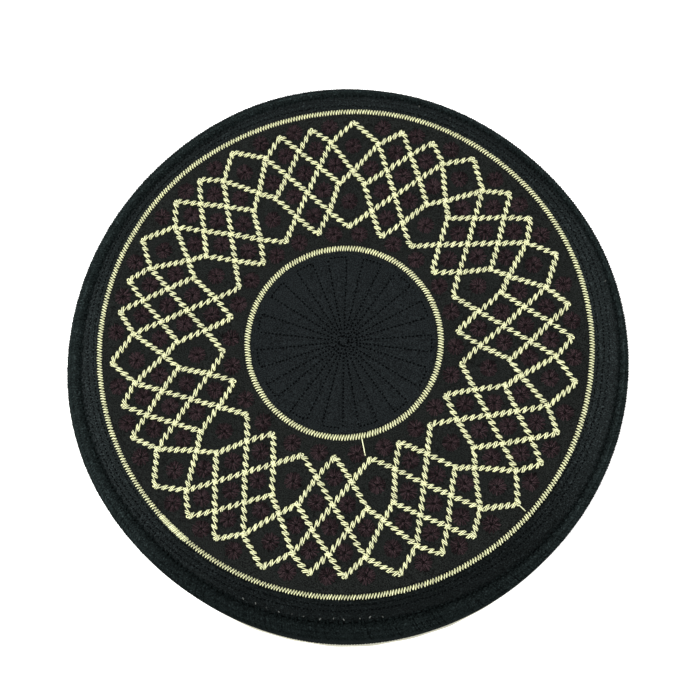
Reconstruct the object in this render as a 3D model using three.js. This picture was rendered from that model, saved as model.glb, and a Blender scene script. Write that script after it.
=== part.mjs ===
// A flat-topped kufi cap: a round top panel, a side band turned over at its upper edge, and a pale lining
// whose edge shows as a thin welt under the hem. Millimetres, +Z up.
// The cap stands on its hem, and the origin is the middle of its box on the ground.
import * as THREE from "three";

// Heights above the ground
const SEAM_HEIGHT = 75; // level of the seam round the top panel
const RIM_HEIGHT = 70.6; // level where the turned-over rim is widest
const HEM_HEIGHT = 1.3; // lower edge of the side band
const WELT_HEIGHT = 1.0; // the lining's foot, folded out under the hem
const LINING_TOP = 66; // upper edge of the lining

// Radii, before the cap is pulled out of round
const SEAM_RADIUS = 88; // edge of the top panel
const RIM_RADIUS = 92.6; // outermost point of the turned-over rim
const HEM_RADIUS = 95.6; // outside of the side band at its lower edge

// Cloth
const PANEL_THICK = 2.0;
const BAND_THICK = 2.2;
const LINING_THICK = 1.0;
const GAP = 0.3; // clearance between neighbouring pieces
const PANEL_SAG = 1.8; // the panel's middle hangs this far below the seam level
const WALL_BELLY = 0.5; // the side band bows out this far at half height
const WELT_PROUD = 0.9; // the welt shows this far outside the hem

const ROUND_STEPS = 96;
const WALL_STEPS = 6;

// Face of the top panel, from its middle to where its edge begins to dip
const PANEL_RADII = [0, 22, 44, 62, 76, 84];

// Edge of the top panel, turned down into the seam: distance in from the seam, drop below its level
const PANEL_EDGE = [
  { inwards: 1.8, drop: 0.2 },
  { inwards: 0.6, drop: 0.7 },
  { inwards: 0, drop: 1.5 },
  { inwards: 0, drop: 2.9 },
];

// Rolled rim, from the band's raw edge in the seam to its widest point: distance out, drop below the seam
const RIM_ROLL = [
  { out: 0, drop: 3.0 },
  { out: 0, drop: 1.3 },
  { out: 0.7, drop: 0.3 },
  { out: 1.7, drop: -0.2 },
  { out: 2.8, drop: 0.2 },
  { out: 3.7, drop: 1.4 },
  { out: 4.2, drop: 2.8 },
];
const RIM_INSIDE = { out: 1.3, drop: 4.4 }; // hollow of the roll, under its crest
const RIM_FOLD = 2.0; // the band's inside bends into the roll this far below the widest point
const WELT_ROUND = 0.3; // the welt's edge is rounded by this much

// The soft cloth isn't quite round: outside radius of the rim and of the hem, every 30 degrees from +X.
const OUT_OF_ROUND = [
  { rim: 91.3, hem: 93.4 },
  { rim: 90.6, hem: 93.0 },
  { rim: 91.7, hem: 93.4 },
  { rim: 92.6, hem: 94.0 },
  { rim: 92.0, hem: 94.6 },
  { rim: 92.7, hem: 96.2 },
  { rim: 93.9, hem: 98.6 },
  { rim: 93.4, hem: 100.4 },
  { rim: 93.6, hem: 99.7 },
  { rim: 93.6, hem: 97.2 },
  { rim: 93.0, hem: 95.4 },
  { rim: 92.3, hem: 94.2 },
];

const cloth = (name, colour, roughness) =>
  new THREE.MeshStandardMaterial({ name, color: colour, roughness, metalness: 0 });
const MATERIALS = {
  panel: cloth("black twill", 0x222627, 0.9),
  band: cloth("black quilted cloth", 0x1c2121, 0.92),
  lining: cloth("cream cotton", 0xcfcdb9, 0.9),
};

// A column of the table at any angle, on a smooth closed curve through its rows.
function around(column, angle) {
  const rows = OUT_OF_ROUND.length;
  const place = (angle / (2 * Math.PI) + 1) * rows;
  const row = Math.floor(place);
  const share = place - row;
  const [a, b, c, d] = [-1, 0, 1, 2].map((step) => OUT_OF_ROUND[(row + step + rows) % rows][column]);
  const bend = 2 * a - 5 * b + 4 * c - d + share * (3 * (b - c) + d - a);
  return b + 0.5 * share * (c - a + share * bend);
}

// Outside of the side band, before it is pulled out of round, at a height below the rim.
function wallRadius(height) {
  const drop = (RIM_HEIGHT - height) / RIM_HEIGHT;
  const belly = WALL_BELLY * Math.sin(Math.PI * drop);
  return THREE.MathUtils.lerp(RIM_RADIUS, HEM_RADIUS, drop) + belly;
}

// How far a point moves outwards: the seam stays round, the rim and the hem follow the table.
function pull(angle, radius, height) {
  const rim = around("rim", angle) - RIM_RADIUS;
  if (height > RIM_HEIGHT) {
    const share = (radius - SEAM_RADIUS) / (RIM_RADIUS - SEAM_RADIUS);
    return rim * THREE.MathUtils.clamp(share, 0, 1);
  }
  const hem = around("hem", angle) - HEM_RADIUS;
  return THREE.MathUtils.lerp(rim, hem, (RIM_HEIGHT - height) / RIM_HEIGHT);
}

// A round shell from a closed section of [radius, height] points, pulled out of round if asked.
function turned(section, outOfRound) {
  const points = section.map(([radius, height]) => new THREE.Vector2(radius, height));
  const shell = new THREE.LatheGeometry(points, ROUND_STEPS);
  shell.rotateX(Math.PI / 2);
  shell.deleteAttribute("normal");
  shell.deleteAttribute("uv");
  const place = shell.getAttribute("position");
  for (let i = 0; outOfRound && i < place.count; i++) {
    const angle = Math.atan2(place.getY(i), place.getX(i));
    const radius = Math.hypot(place.getX(i), place.getY(i));
    const moved = radius + pull(angle, radius, place.getZ(i));
    place.setXY(i, moved * Math.cos(angle), moved * Math.sin(angle));
  }
  return shell;
}

// Points down a wall that lies a given depth inside the band's outer face, from one height to another.
function wallPoints(depth, from, to) {
  const points = [];
  for (let i = 0; i <= WALL_STEPS; i++) {
    const height = THREE.MathUtils.lerp(from, to, i / WALL_STEPS);
    points.push([wallRadius(height) - depth, height]);
  }
  return points;
}

// The embroidered top: a disc of cloth that sags a little and dips into the seam at its edge.
function topPanel() {
  const sag = (radius) => SEAM_HEIGHT - PANEL_SAG * (1 - (radius / SEAM_RADIUS) ** 2);
  const face = PANEL_RADII.map((radius) => [radius, sag(radius)]);
  const edge = PANEL_EDGE.map(({ inwards, drop }) => [SEAM_RADIUS - inwards, SEAM_HEIGHT - drop]);
  const back = face.map(([radius, height]) => [radius, height - PANEL_THICK]);
  return turned([...back, ...edge.reverse(), ...face.reverse()], false);
}

// The side band: out of the seam, over the rolled rim, down to the hem, and back up its inside.
function sideBand() {
  const seam = SEAM_RADIUS + GAP;
  const point = ({ out, drop }) => [seam + out, SEAM_HEIGHT - drop];
  const roll = RIM_ROLL.map(point);
  const outside = wallPoints(0, RIM_HEIGHT, HEM_HEIGHT);
  const inside = wallPoints(BAND_THICK, HEM_HEIGHT, RIM_HEIGHT - RIM_FOLD);
  return turned([...roll, ...outside, ...inside, point(RIM_INSIDE), roll[0]].reverse(), true);
}

// The lining: a thin wall inside the band, with its foot folded out under the hem as a welt.
function lining() {
  const face = BAND_THICK + GAP;
  const outside = wallPoints(face, LINING_TOP, HEM_HEIGHT);
  const inside = wallPoints(face + LINING_THICK, 0, LINING_TOP);
  const hem = wallRadius(0);
  const welt = [
    [hem - face, WELT_HEIGHT],
    [hem + WELT_PROUD - WELT_ROUND, WELT_HEIGHT],
    [hem + WELT_PROUD, WELT_HEIGHT / 2],
    [hem + WELT_PROUD - WELT_ROUND, 0],
  ];
  return turned([...outside, ...welt, ...inside, outside[0]].reverse(), true);
}

function piece(name, geometry, material) {
  const mesh = new THREE.Mesh(geometry, material);
  mesh.name = name;
  return mesh;
}

const cap = new THREE.Group();
cap.add(
  piece("top_panel", topPanel(), MATERIALS.panel),
  piece("side_band", sideBand(), MATERIALS.band),
  piece("lining", lining(), MATERIALS.lining),
);

// The middle of the cap's box goes over the origin.
const middle = new THREE.Box3().setFromObject(cap).getCenter(new THREE.Vector3());
const kufi = new THREE.Group();
cap.position.set(-middle.x, -middle.y, 0);
kufi.add(cap);

export default kufi;
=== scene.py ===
"""Dresses the kufi cap: black cloth, pale gold and maroon embroidery, quilting rows and a cream lining.

Sizes are in millimetres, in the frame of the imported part, and a mesh is turned into metres when it becomes
an object. Angles in the fields are in degrees, counter-clockwise seen from above, from +X, but for a loop's
turn, small chance turns and the starts of waves, which are in radians.
"""

import logging
import math
from collections.abc import Sequence
from dataclasses import dataclass, field
from enum import Enum

import bmesh
import bpy
import numpy as np
from mathutils import Matrix, Vector


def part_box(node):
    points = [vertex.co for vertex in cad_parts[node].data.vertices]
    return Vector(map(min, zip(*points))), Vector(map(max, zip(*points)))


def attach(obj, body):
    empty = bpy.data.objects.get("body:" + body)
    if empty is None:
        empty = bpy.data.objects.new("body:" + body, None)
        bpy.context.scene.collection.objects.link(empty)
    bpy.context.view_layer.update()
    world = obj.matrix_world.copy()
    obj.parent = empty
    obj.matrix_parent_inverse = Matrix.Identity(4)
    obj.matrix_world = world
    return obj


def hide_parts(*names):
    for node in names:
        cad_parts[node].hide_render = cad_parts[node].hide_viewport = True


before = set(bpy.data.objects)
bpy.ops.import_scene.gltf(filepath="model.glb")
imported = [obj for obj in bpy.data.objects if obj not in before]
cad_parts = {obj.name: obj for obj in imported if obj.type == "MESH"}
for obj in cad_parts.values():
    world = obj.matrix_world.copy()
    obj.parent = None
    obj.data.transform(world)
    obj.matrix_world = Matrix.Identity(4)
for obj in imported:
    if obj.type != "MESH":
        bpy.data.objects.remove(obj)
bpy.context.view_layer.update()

MM = 0.001  # metres in a millimetre
TURN = 2 * math.pi
FRONT = 261.0  # the side of the cap that faces the viewer
MERGE = 1e-4  # points closer than this become one

Array = np.ndarray
Colour = tuple[float, float, float]
Pair = tuple[float, float]

log = logging.getLogger("kufi")


class Slot(Enum):
    """The record's material slots."""

    TOP_CLOTH = "top_cloth"
    BAND_CLOTH = "band_cloth"
    LINING_CLOTH = "lining_cloth"
    GOLD_THREAD = "gold_thread"
    MAROON_THREAD = "maroon_thread"
    BLACK_THREAD = "black_thread"


# Shading


class Socket:
    """A shader node's output, on which Python's operators add Math nodes."""

    def __init__(self, shading: "Shading", node: bpy.types.Node, output: str | int = 0) -> None:
        """Keeps a node and the output that other nodes link to.

        Args:
            shading: The tree that holds the node.
            node: The node.
            output: The output's name or number. The node that ends a tree has none.
        """
        self.shading = shading
        self.made = node
        self.port = node.outputs[output] if node.outputs else None

    def out(self, output: str | int) -> "Socket":
        """Gives another output of the same node."""
        return Socket(self.shading, self.made, output)

    def math(self, operation: str, *values: "Socket | float") -> "Socket":
        """Adds a Math node on these values."""
        return self.shading.node("ShaderNodeMath", {"operation": operation}, dict(enumerate(values)))

    def __add__(self, other: "Socket | float") -> "Socket":
        """Adds."""
        return self.math("ADD", self, other)

    def __radd__(self, other: "Socket | float") -> "Socket":
        """Adds, with the plain number first."""
        return self.math("ADD", other, self)

    def __sub__(self, other: "Socket | float") -> "Socket":
        """Subtracts."""
        return self.math("SUBTRACT", self, other)

    def __rsub__(self, other: "Socket | float") -> "Socket":
        """Subtracts from a plain number."""
        return self.math("SUBTRACT", other, self)

    def __mul__(self, other: "Socket | float") -> "Socket":
        """Multiplies."""
        return self.math("MULTIPLY", self, other)

    def __rmul__(self, other: "Socket | float") -> "Socket":
        """Multiplies, with the plain number first."""
        return self.math("MULTIPLY", other, self)

    def __truediv__(self, other: "Socket | float") -> "Socket":
        """Divides."""
        return self.math("DIVIDE", self, other)

    def __rtruediv__(self, other: "Socket | float") -> "Socket":
        """Divides a plain number."""
        return self.math("DIVIDE", other, self)

    def sin(self) -> "Socket":
        """Takes the sine."""
        return self.math("SINE", self)

    def at_least(self, low: float) -> "Socket":
        """Keeps the value from falling below a number."""
        return self.math("MAXIMUM", self, low)

    def step(self, low: float, high: float) -> "Socket":
        """Goes smoothly from 0 at low to 1 at high."""
        ends = {"Value": self, "From Min": low, "From Max": high}
        return self.shading.node("ShaderNodeMapRange", {"interpolation_type": "SMOOTHSTEP"}, ends)

    def past(self, edge: float, blend: float) -> "Socket":
        """Goes smoothly from 0 before an edge to 1 past it."""
        return self.step(edge - blend, edge + blend)

    def ribs(self, pitch: float) -> "Socket":
        """Makes ribs of a pitch in millimetres, from -1 to 1."""
        return (self * (TURN / pitch)).sin()

    def weave(self, other: "Socket", pitch: float) -> "Socket":
        """Crosses the ribs along two ways, at one pitch in millimetres, from -1 to 1."""
        return self.ribs(pitch) * other.ribs(pitch)


class Shading:
    """One material's node tree."""

    def __init__(self, name: str) -> None:
        """Starts a material with an empty tree.

        Args:
            name: The material's name.
        """
        self.material = bpy.data.materials.new(name)
        self.material.use_nodes = True
        self.tree = self.material.node_tree
        self.tree.nodes.clear()

    def node(
        self,
        kind: str,
        settings: dict[str, object] | None = None,
        sockets: dict[str | int, object] | None = None,
        output: str | int = 0,
    ) -> Socket:
        """Makes any node of the tree.

        Args:
            kind: The node's type.
            settings: Its properties, which are set first.
            sockets: Values or links of its inputs, by name or number.
            output: The output that the result stands for.

        Returns:
            The chosen output, ready for use in an expression.
        """
        made = self.tree.nodes.new(kind)
        for key, value in (settings or {}).items():
            setattr(made, key, value)
        for key, value in (sockets or {}).items():
            if isinstance(value, Socket):
                self.tree.links.new(value.port, made.inputs[key])
            else:
                made.inputs[key].default_value = value
        return Socket(self, made, output)

    def mix(self, share: Socket | float, low: Socket | Colour, high: Socket | Colour) -> Socket:
        """Mixes two colours."""
        ends = [colour if isinstance(colour, Socket) else (*colour, 1.0) for colour in (low, high)]
        return self.node("ShaderNodeMix", {"data_type": "RGBA"}, {0: share, 6: ends[0], 7: ends[1]}, 2)

    def dim(self, colour: Socket, share: Socket | float) -> Socket:
        """Scales a colour by a value."""
        return self.node("ShaderNodeVectorMath", {"operation": "SCALE"}, {0: colour, "Scale": share})

    def millimetres(self, middle: Pair) -> Socket:
        """Gives the piece's own coordinates in millimetres.

        Args:
            middle: The point of the plan that they are measured from.

        Returns:
            The coordinates.
        """
        place = self.node("ShaderNodeTexCoord", output="Object")
        shift = {"Vector": place, "Location": (-middle[0], -middle[1], 0.0), "Scale": (1 / MM,) * 3}
        return self.node("ShaderNodeMapping", {"vector_type": "POINT"}, shift)

    def noise(self, place: Socket, grain: float, detail: float = 2.0) -> Socket:
        """Gives soft noise of a grain size in millimetres, from 0 to 1."""
        return self.node("ShaderNodeTexNoise", {}, {"Vector": place, "Scale": 1 / grain, "Detail": detail})

    def plan(self, place: Socket, front: float) -> tuple[Socket, Socket]:
        """Measures a place in the plan.

        Args:
            place: The place.
            front: The angle of the front.

        Returns:
            The distance from the upright axis, and the cosine of the angle from the front.
        """
        ahead = (math.cos(math.radians(front)), math.sin(math.radians(front)), 0.0)
        flat = self.node("ShaderNodeVectorMath", {"operation": "MULTIPLY"}, {0: place, 1: (1.0, 1.0, 0.0)})
        radius = self.node("ShaderNodeVectorMath", {"operation": "LENGTH"}, {0: flat}, "Value")
        share = self.node("ShaderNodeVectorMath", {"operation": "DOT_PRODUCT"}, {0: flat, 1: ahead}, "Value")
        return radius, share / radius

    def bump(self, height: Socket, rise: float, strength: float) -> Socket:
        """Turns a height from 0 to 1 into a normal, for a rise in millimetres."""
        relief = {"Height": height, "Distance": rise * MM, "Strength": strength}
        return self.node("ShaderNodeBump", {}, relief)

    def finish(self, varying: dict[str, Socket], constants: dict[str, object]) -> bpy.types.Material:
        """Ends the tree with its shader.

        Args:
            varying: Sockets of the shader that change over the surface.
            constants: Sockets of the shader that are the same all over.

        Returns:
            The material.
        """
        shader = self.node("ShaderNodeBsdfPrincipled", {}, {**varying, **constants})
        self.node("ShaderNodeOutputMaterial", {}, {"Surface": shader})
        return self.material


@dataclass(frozen=True)
class TwillFinish:
    """Fine black twill, tinted a little by zone, with painted shade that darkens its margin at the front and
    the back.
    """

    name: str
    middle: Pair
    disc: Colour = (0.0086, 0.0106, 0.0112)
    ground: Colour = (0.0093, 0.0105, 0.0098)
    margin: Colour = (0.0106, 0.0136, 0.0138)
    disc_radius: float = 31.0
    margin_radius: float = 81.5
    zone_blend: float = 1.0
    front: float = FRONT
    # Painted shade: how much darker the margin is painted towards the front, and towards the back.
    front_painted_shade: float = 0.58
    front_cosines: Pair = (0.3, 0.98)
    back_painted_shade: float = 0.26
    back_cosines: Pair = (0.2, 0.65)
    thread_pitch: float = 0.44
    cloud_size: float = 14.0
    grain_size: float = 0.34
    grain_range: Pair = (0.32, 0.68)
    fleck_size: float = 0.5
    fleck_range: Pair = (0.62, 0.8)
    shade: float = 0.1
    cloud_shade: float = 0.3
    grain_shade: float = 1.45
    rib_shade: float = 0.1
    fleck_shade: float = 0.5
    margin_fleck_shade: float = 1.4
    rib_rise: float = 0.22
    weave_rise: float = 0.18
    grain_rise: float = 0.5
    rise: float = 0.09
    bump: float = 0.55
    specular: float = 0.02
    roughness: float = 0.85
    grain_roughness: float = 0.15

    def material(self) -> bpy.types.Material:
        """Makes the twill.

        Returns:
            The material.
        """
        sheet = Shading(self.name)
        place = sheet.millimetres(self.middle)
        across = sheet.node("ShaderNodeSeparateXYZ", {}, {0: place})
        away = across.out("Y")
        radius, to_front = sheet.plan(place, self.front)
        rib = (across + away).ribs(2 * self.thread_pitch)
        weave = across.weave(away, self.thread_pitch)
        cloud = sheet.noise(place, self.cloud_size)
        grain = sheet.noise(place, self.grain_size, detail=1.0).step(*self.grain_range)
        fleck = sheet.noise(place, self.fleck_size, detail=0.0).step(*self.fleck_range)
        in_margin = radius.past(self.margin_radius, self.zone_blend)
        inside = sheet.mix(radius.past(self.disc_radius, self.zone_blend), self.disc, self.ground)
        zones = sheet.mix(in_margin, inside, self.margin)
        # Painted shade on the margin, darker towards the front and the back.
        ahead = to_front.step(*self.front_cosines) * self.front_painted_shade
        behind = (to_front * -1).step(*self.back_cosines) * self.back_painted_shade
        painted_shading = 1 - (ahead + behind) * in_margin
        flecks = fleck * (self.fleck_shade + in_margin * self.margin_fleck_shade)
        cloth = self.shade + cloud * self.cloud_shade + grain * self.grain_shade + rib * self.rib_shade
        height = rib * self.rib_rise + weave * self.weave_rise + grain * self.grain_rise
        return sheet.finish(
            {
                "Base Color": sheet.dim(zones, (cloth + flecks) * painted_shading),
                "Roughness": self.roughness + grain * self.grain_roughness,
                "Normal": sheet.bump(height, self.rise, self.bump),
            },
            {"Specular IOR Level": self.specular},
        )


@dataclass(frozen=True)
class QuiltFinish:
    """The side band's black cloth, with painted shade: its wall is painted darker than the rolled rim, and
    the rim darker at its front.
    """

    name: str
    middle: Pair
    # The wall's colour is darker than the rim's: painted shade.
    rim: Colour = (0.0102, 0.0143, 0.0142)
    wall: Colour = (0.0074, 0.0096, 0.0098)
    rim_levels: Pair = (68.5, 72.5)
    # Painted shade: the rim is painted darker towards this front angle.
    front: float = 252.0
    front_painted_shade: float = 0.42
    front_cosines: Pair = (0.55, 0.95)
    thread_pitch: float = 0.5
    cloud_size: float = 9.0
    grain_size: float = 0.38
    grain_range: Pair = (0.32, 0.68)
    fleck_size: float = 0.55
    fleck_range: Pair = (0.6, 0.78)
    shade: float = 0.12
    cloud_shade: float = 0.35
    grain_shade: float = 1.25
    fleck_shade: float = 1.6
    weave_rise: float = 0.2
    grain_rise: float = 0.7
    rise: float = 0.1
    bump: float = 0.6
    specular: float = 0.0
    roughness: float = 0.9
    grain_roughness: float = 0.15

    def material(self) -> bpy.types.Material:
        """Makes the quilted cloth.

        Returns:
            The material.
        """
        sheet = Shading(self.name)
        place = sheet.millimetres(self.middle)
        across = sheet.node("ShaderNodeSeparateXYZ", {}, {0: place})
        level = across.out("Z")
        to_front = sheet.plan(place, self.front)[1]
        weave = level.weave(across + across.out("Y"), self.thread_pitch)
        cloud = sheet.noise(place, self.cloud_size)
        grain = sheet.noise(place, self.grain_size, detail=1.0).step(*self.grain_range)
        fleck = sheet.noise(place, self.fleck_size, detail=0.0).step(*self.fleck_range)
        # Painted shade: the wall darker than the rim, and the rim darker at the front.
        on_rim = level.step(*self.rim_levels)
        zones = sheet.mix(on_rim, self.wall, self.rim)
        painted_shading = 1 - to_front.step(*self.front_cosines) * on_rim * self.front_painted_shade
        cloth = self.shade + cloud * self.cloud_shade + grain * self.grain_shade + fleck * self.fleck_shade
        height = weave * self.weave_rise + grain * self.grain_rise
        return sheet.finish(
            {
                "Base Color": sheet.dim(zones, cloth * painted_shading),
                "Roughness": self.roughness + grain * self.grain_roughness,
                "Normal": sheet.bump(height, self.rise, self.bump),
            },
            {"Specular IOR Level": self.specular},
        )


@dataclass(frozen=True)
class CottonFinish:
    """Plain-woven cream cotton, a little soiled in patches."""

    name: str
    middle: Pair
    clean: Colour = (0.62, 0.61, 0.5)
    soiled: Colour = (0.55, 0.54, 0.44)
    soil_size: float = 12.0
    soil_range: Pair = (0.45, 0.75)
    thread_pitch: float = 0.5
    slub_size: float = 0.9
    shade: float = 0.84
    slub_shade: float = 0.24
    weave_shade: float = 0.05
    weave_rise: float = 0.4
    slub_rise: float = 0.5
    rise: float = 0.12
    bump: float = 0.6
    specular: float = 0.2
    roughness: float = 0.85
    sheen: float = 0.1

    def material(self) -> bpy.types.Material:
        """Makes the cotton.

        Returns:
            The material.
        """
        sheet = Shading(self.name)
        place = sheet.millimetres(self.middle)
        across = sheet.node("ShaderNodeSeparateXYZ", {}, {0: place})
        weave = across.out("Z").weave(across + across.out("Y"), self.thread_pitch)
        slub = sheet.noise(place, self.slub_size)
        soil = sheet.noise(place, self.soil_size, detail=3.0).step(*self.soil_range)
        shade = self.shade + slub * self.slub_shade + weave * self.weave_shade
        height = weave * self.weave_rise + slub * self.slub_rise
        return sheet.finish(
            {
                "Base Color": sheet.dim(sheet.mix(soil, self.clean, self.soiled), shade),
                "Normal": sheet.bump(height, self.rise, self.bump),
            },
            {"Roughness": self.roughness, "Specular IOR Level": self.specular, "Sheen Weight": self.sheen},
        )


@dataclass(frozen=True)
class ThreadFinish:
    """Twisted thread, with painted shade down its sides and in the grooves of its twist, so that its top
    reads as a lit crest; each strand also has a shade of its own.
    """

    name: str
    # crest is the colour of the strand's lit top and side the painted shade down its sides; groove is how
    # much painted shade darkens the twist's grooves.
    crest: Colour
    side: Colour
    groove: float
    uneven: float
    roughness: float
    specular: float
    plies: int = 2
    twist: float = 0.6
    darkest: float = 0.05
    crest_range: Pair = (0.2, 1.0)
    rise: float = 0.06
    bump: float = 0.7

    def material(self) -> bpy.types.Material:
        """Makes the thread.

        Returns:
            The material.
        """
        sheet = Shading(self.name)
        round_and_along = sheet.node("ShaderNodeUVMap", {"uv_map": "strand"})
        turns = sheet.node("ShaderNodeSeparateXYZ", {}, {0: round_and_along})
        own = sheet.node("ShaderNodeAttribute", {"attribute_name": "shade"}, output="Fac")
        ply = ((turns * self.plies + turns.out("Y") * (1 / self.twist)) * TURN).sin() * 0.5 + 0.5
        # Painted shade: the sides take the deeper side colour, and the grooves between the plies are darker.
        on_top = (turns * TURN).sin().step(*self.crest_range)
        shade = (1 - self.groove) + ply * self.groove + (own - 0.5) * self.uneven
        colour = sheet.mix(on_top, self.side, self.crest)
        return sheet.finish(
            {
                "Base Color": sheet.dim(colour, shade.at_least(self.darkest)),
                "Normal": sheet.bump(ply, self.rise, self.bump),
            },
            {"Roughness": self.roughness, "Specular IOR Level": self.specular},
        )


GOLD = ThreadFinish(
    "pale gold thread", crest=(0.93, 0.955, 0.655), side=(0.56, 0.545, 0.035),
    groove=0.2, uneven=0.3, roughness=0.32, specular=0.8,
)
MAROON = ThreadFinish(
    "maroon thread", crest=(0.0435, 0.0272, 0.0306), side=(0.0336, 0.0209, 0.0236),
    groove=0.95, uneven=1.4, roughness=0.5, specular=0.03, twist=0.9,
)
BLACK = ThreadFinish(
    "black thread", crest=(0.0013, 0.0018, 0.0019), side=(0.001, 0.0014, 0.0015),
    groove=0.3, uneven=0.5, roughness=0.8, specular=0.0,
)
QUILTING = ThreadFinish(
    "quilting thread", crest=(0.0027, 0.0037, 0.0038), side=(0.0021, 0.0028, 0.0029),
    groove=0.3, uneven=0.7, roughness=0.8, specular=0.0,
)
BINDING = ThreadFinish(
    "binding thread", crest=(0.0088, 0.0124, 0.0124), side=(0.0064, 0.009, 0.009),
    groove=0.4, uneven=0.7, roughness=0.8, specular=0.0,
)
PALE = ThreadFinish(
    "pale seam marks", crest=(0.1, 0.108, 0.1), side=(0.07, 0.075, 0.068),
    groove=0.2, uneven=1.2, roughness=0.6, specular=0.2,
)


# Curves and angles


def smooth(corners: Sequence[Array], share: Array) -> Array:
    """Reads a smooth curve between the middle two of four values in a row.

    Args:
        corners: The four values.
        share: Places on the curve, from 0 at the second value to 1 at the third.

    Returns:
        The value at each place.
    """
    a, b, c, d = corners
    bend = 2 * a - 5 * b + 4 * c - d + share * (3 * (b - c) + d - a)
    return b + 0.5 * share * (c - a + share * bend)


def closed_curve(rows: Sequence[float], angle: Array) -> Array:
    """Reads a table round a circle on a smooth closed curve.

    Args:
        rows: Values at equal steps round the circle, from +X.
        angle: Angles in radians.

    Returns:
        The value at each angle.
    """
    table = np.asarray(rows)
    count = len(table)
    place = np.mod(angle / TURN, 1.0) * count
    row = np.floor(place).astype(int)
    return smooth([table[(row + step) % count] for step in (-1, 0, 1, 2)], place - row)


def open_curve(points: Sequence[Pair], share: Array) -> Array:
    """Reads a smooth open curve through points.

    Args:
        points: The points, in order.
        share: Places on it, from 0 at the first point to 1 at the last.

    Returns:
        A point for each place, in the last axis.
    """
    table = np.asarray(points)
    last = len(table) - 1
    place = np.clip(share, 0, 1) * last
    row = np.minimum(np.floor(place).astype(int), last - 1)
    corners = [table[np.clip(row + step, 0, last)] for step in (-1, 0, 1, 2)]
    return smooth(corners, (place - row)[..., None])


def hollow(distance: Array, width: float) -> Array:
    """Gives 1 in the middle of a sewn groove, and falls softly to 0 beside it."""
    return np.exp(-((distance / width) ** 2))


def ray(angle: Array) -> Array:
    """Gives directions in the plan."""
    return np.stack((np.cos(angle), np.sin(angle)), -1)


def facing(angle: Array) -> Array:
    """Gives 1 where the cap faces the viewer, and falls to 0 at its sides."""
    return np.clip(np.cos(angle - math.radians(FRONT)), 0, 1)


def degrees_past(angle: Array, turn: float) -> Array:
    """Gives how far angles in radians lie past a turn in degrees, from -180 to 180."""
    return np.mod(np.degrees(angle) - turn + 180, 360) - 180


# The cap's surfaces


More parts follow.
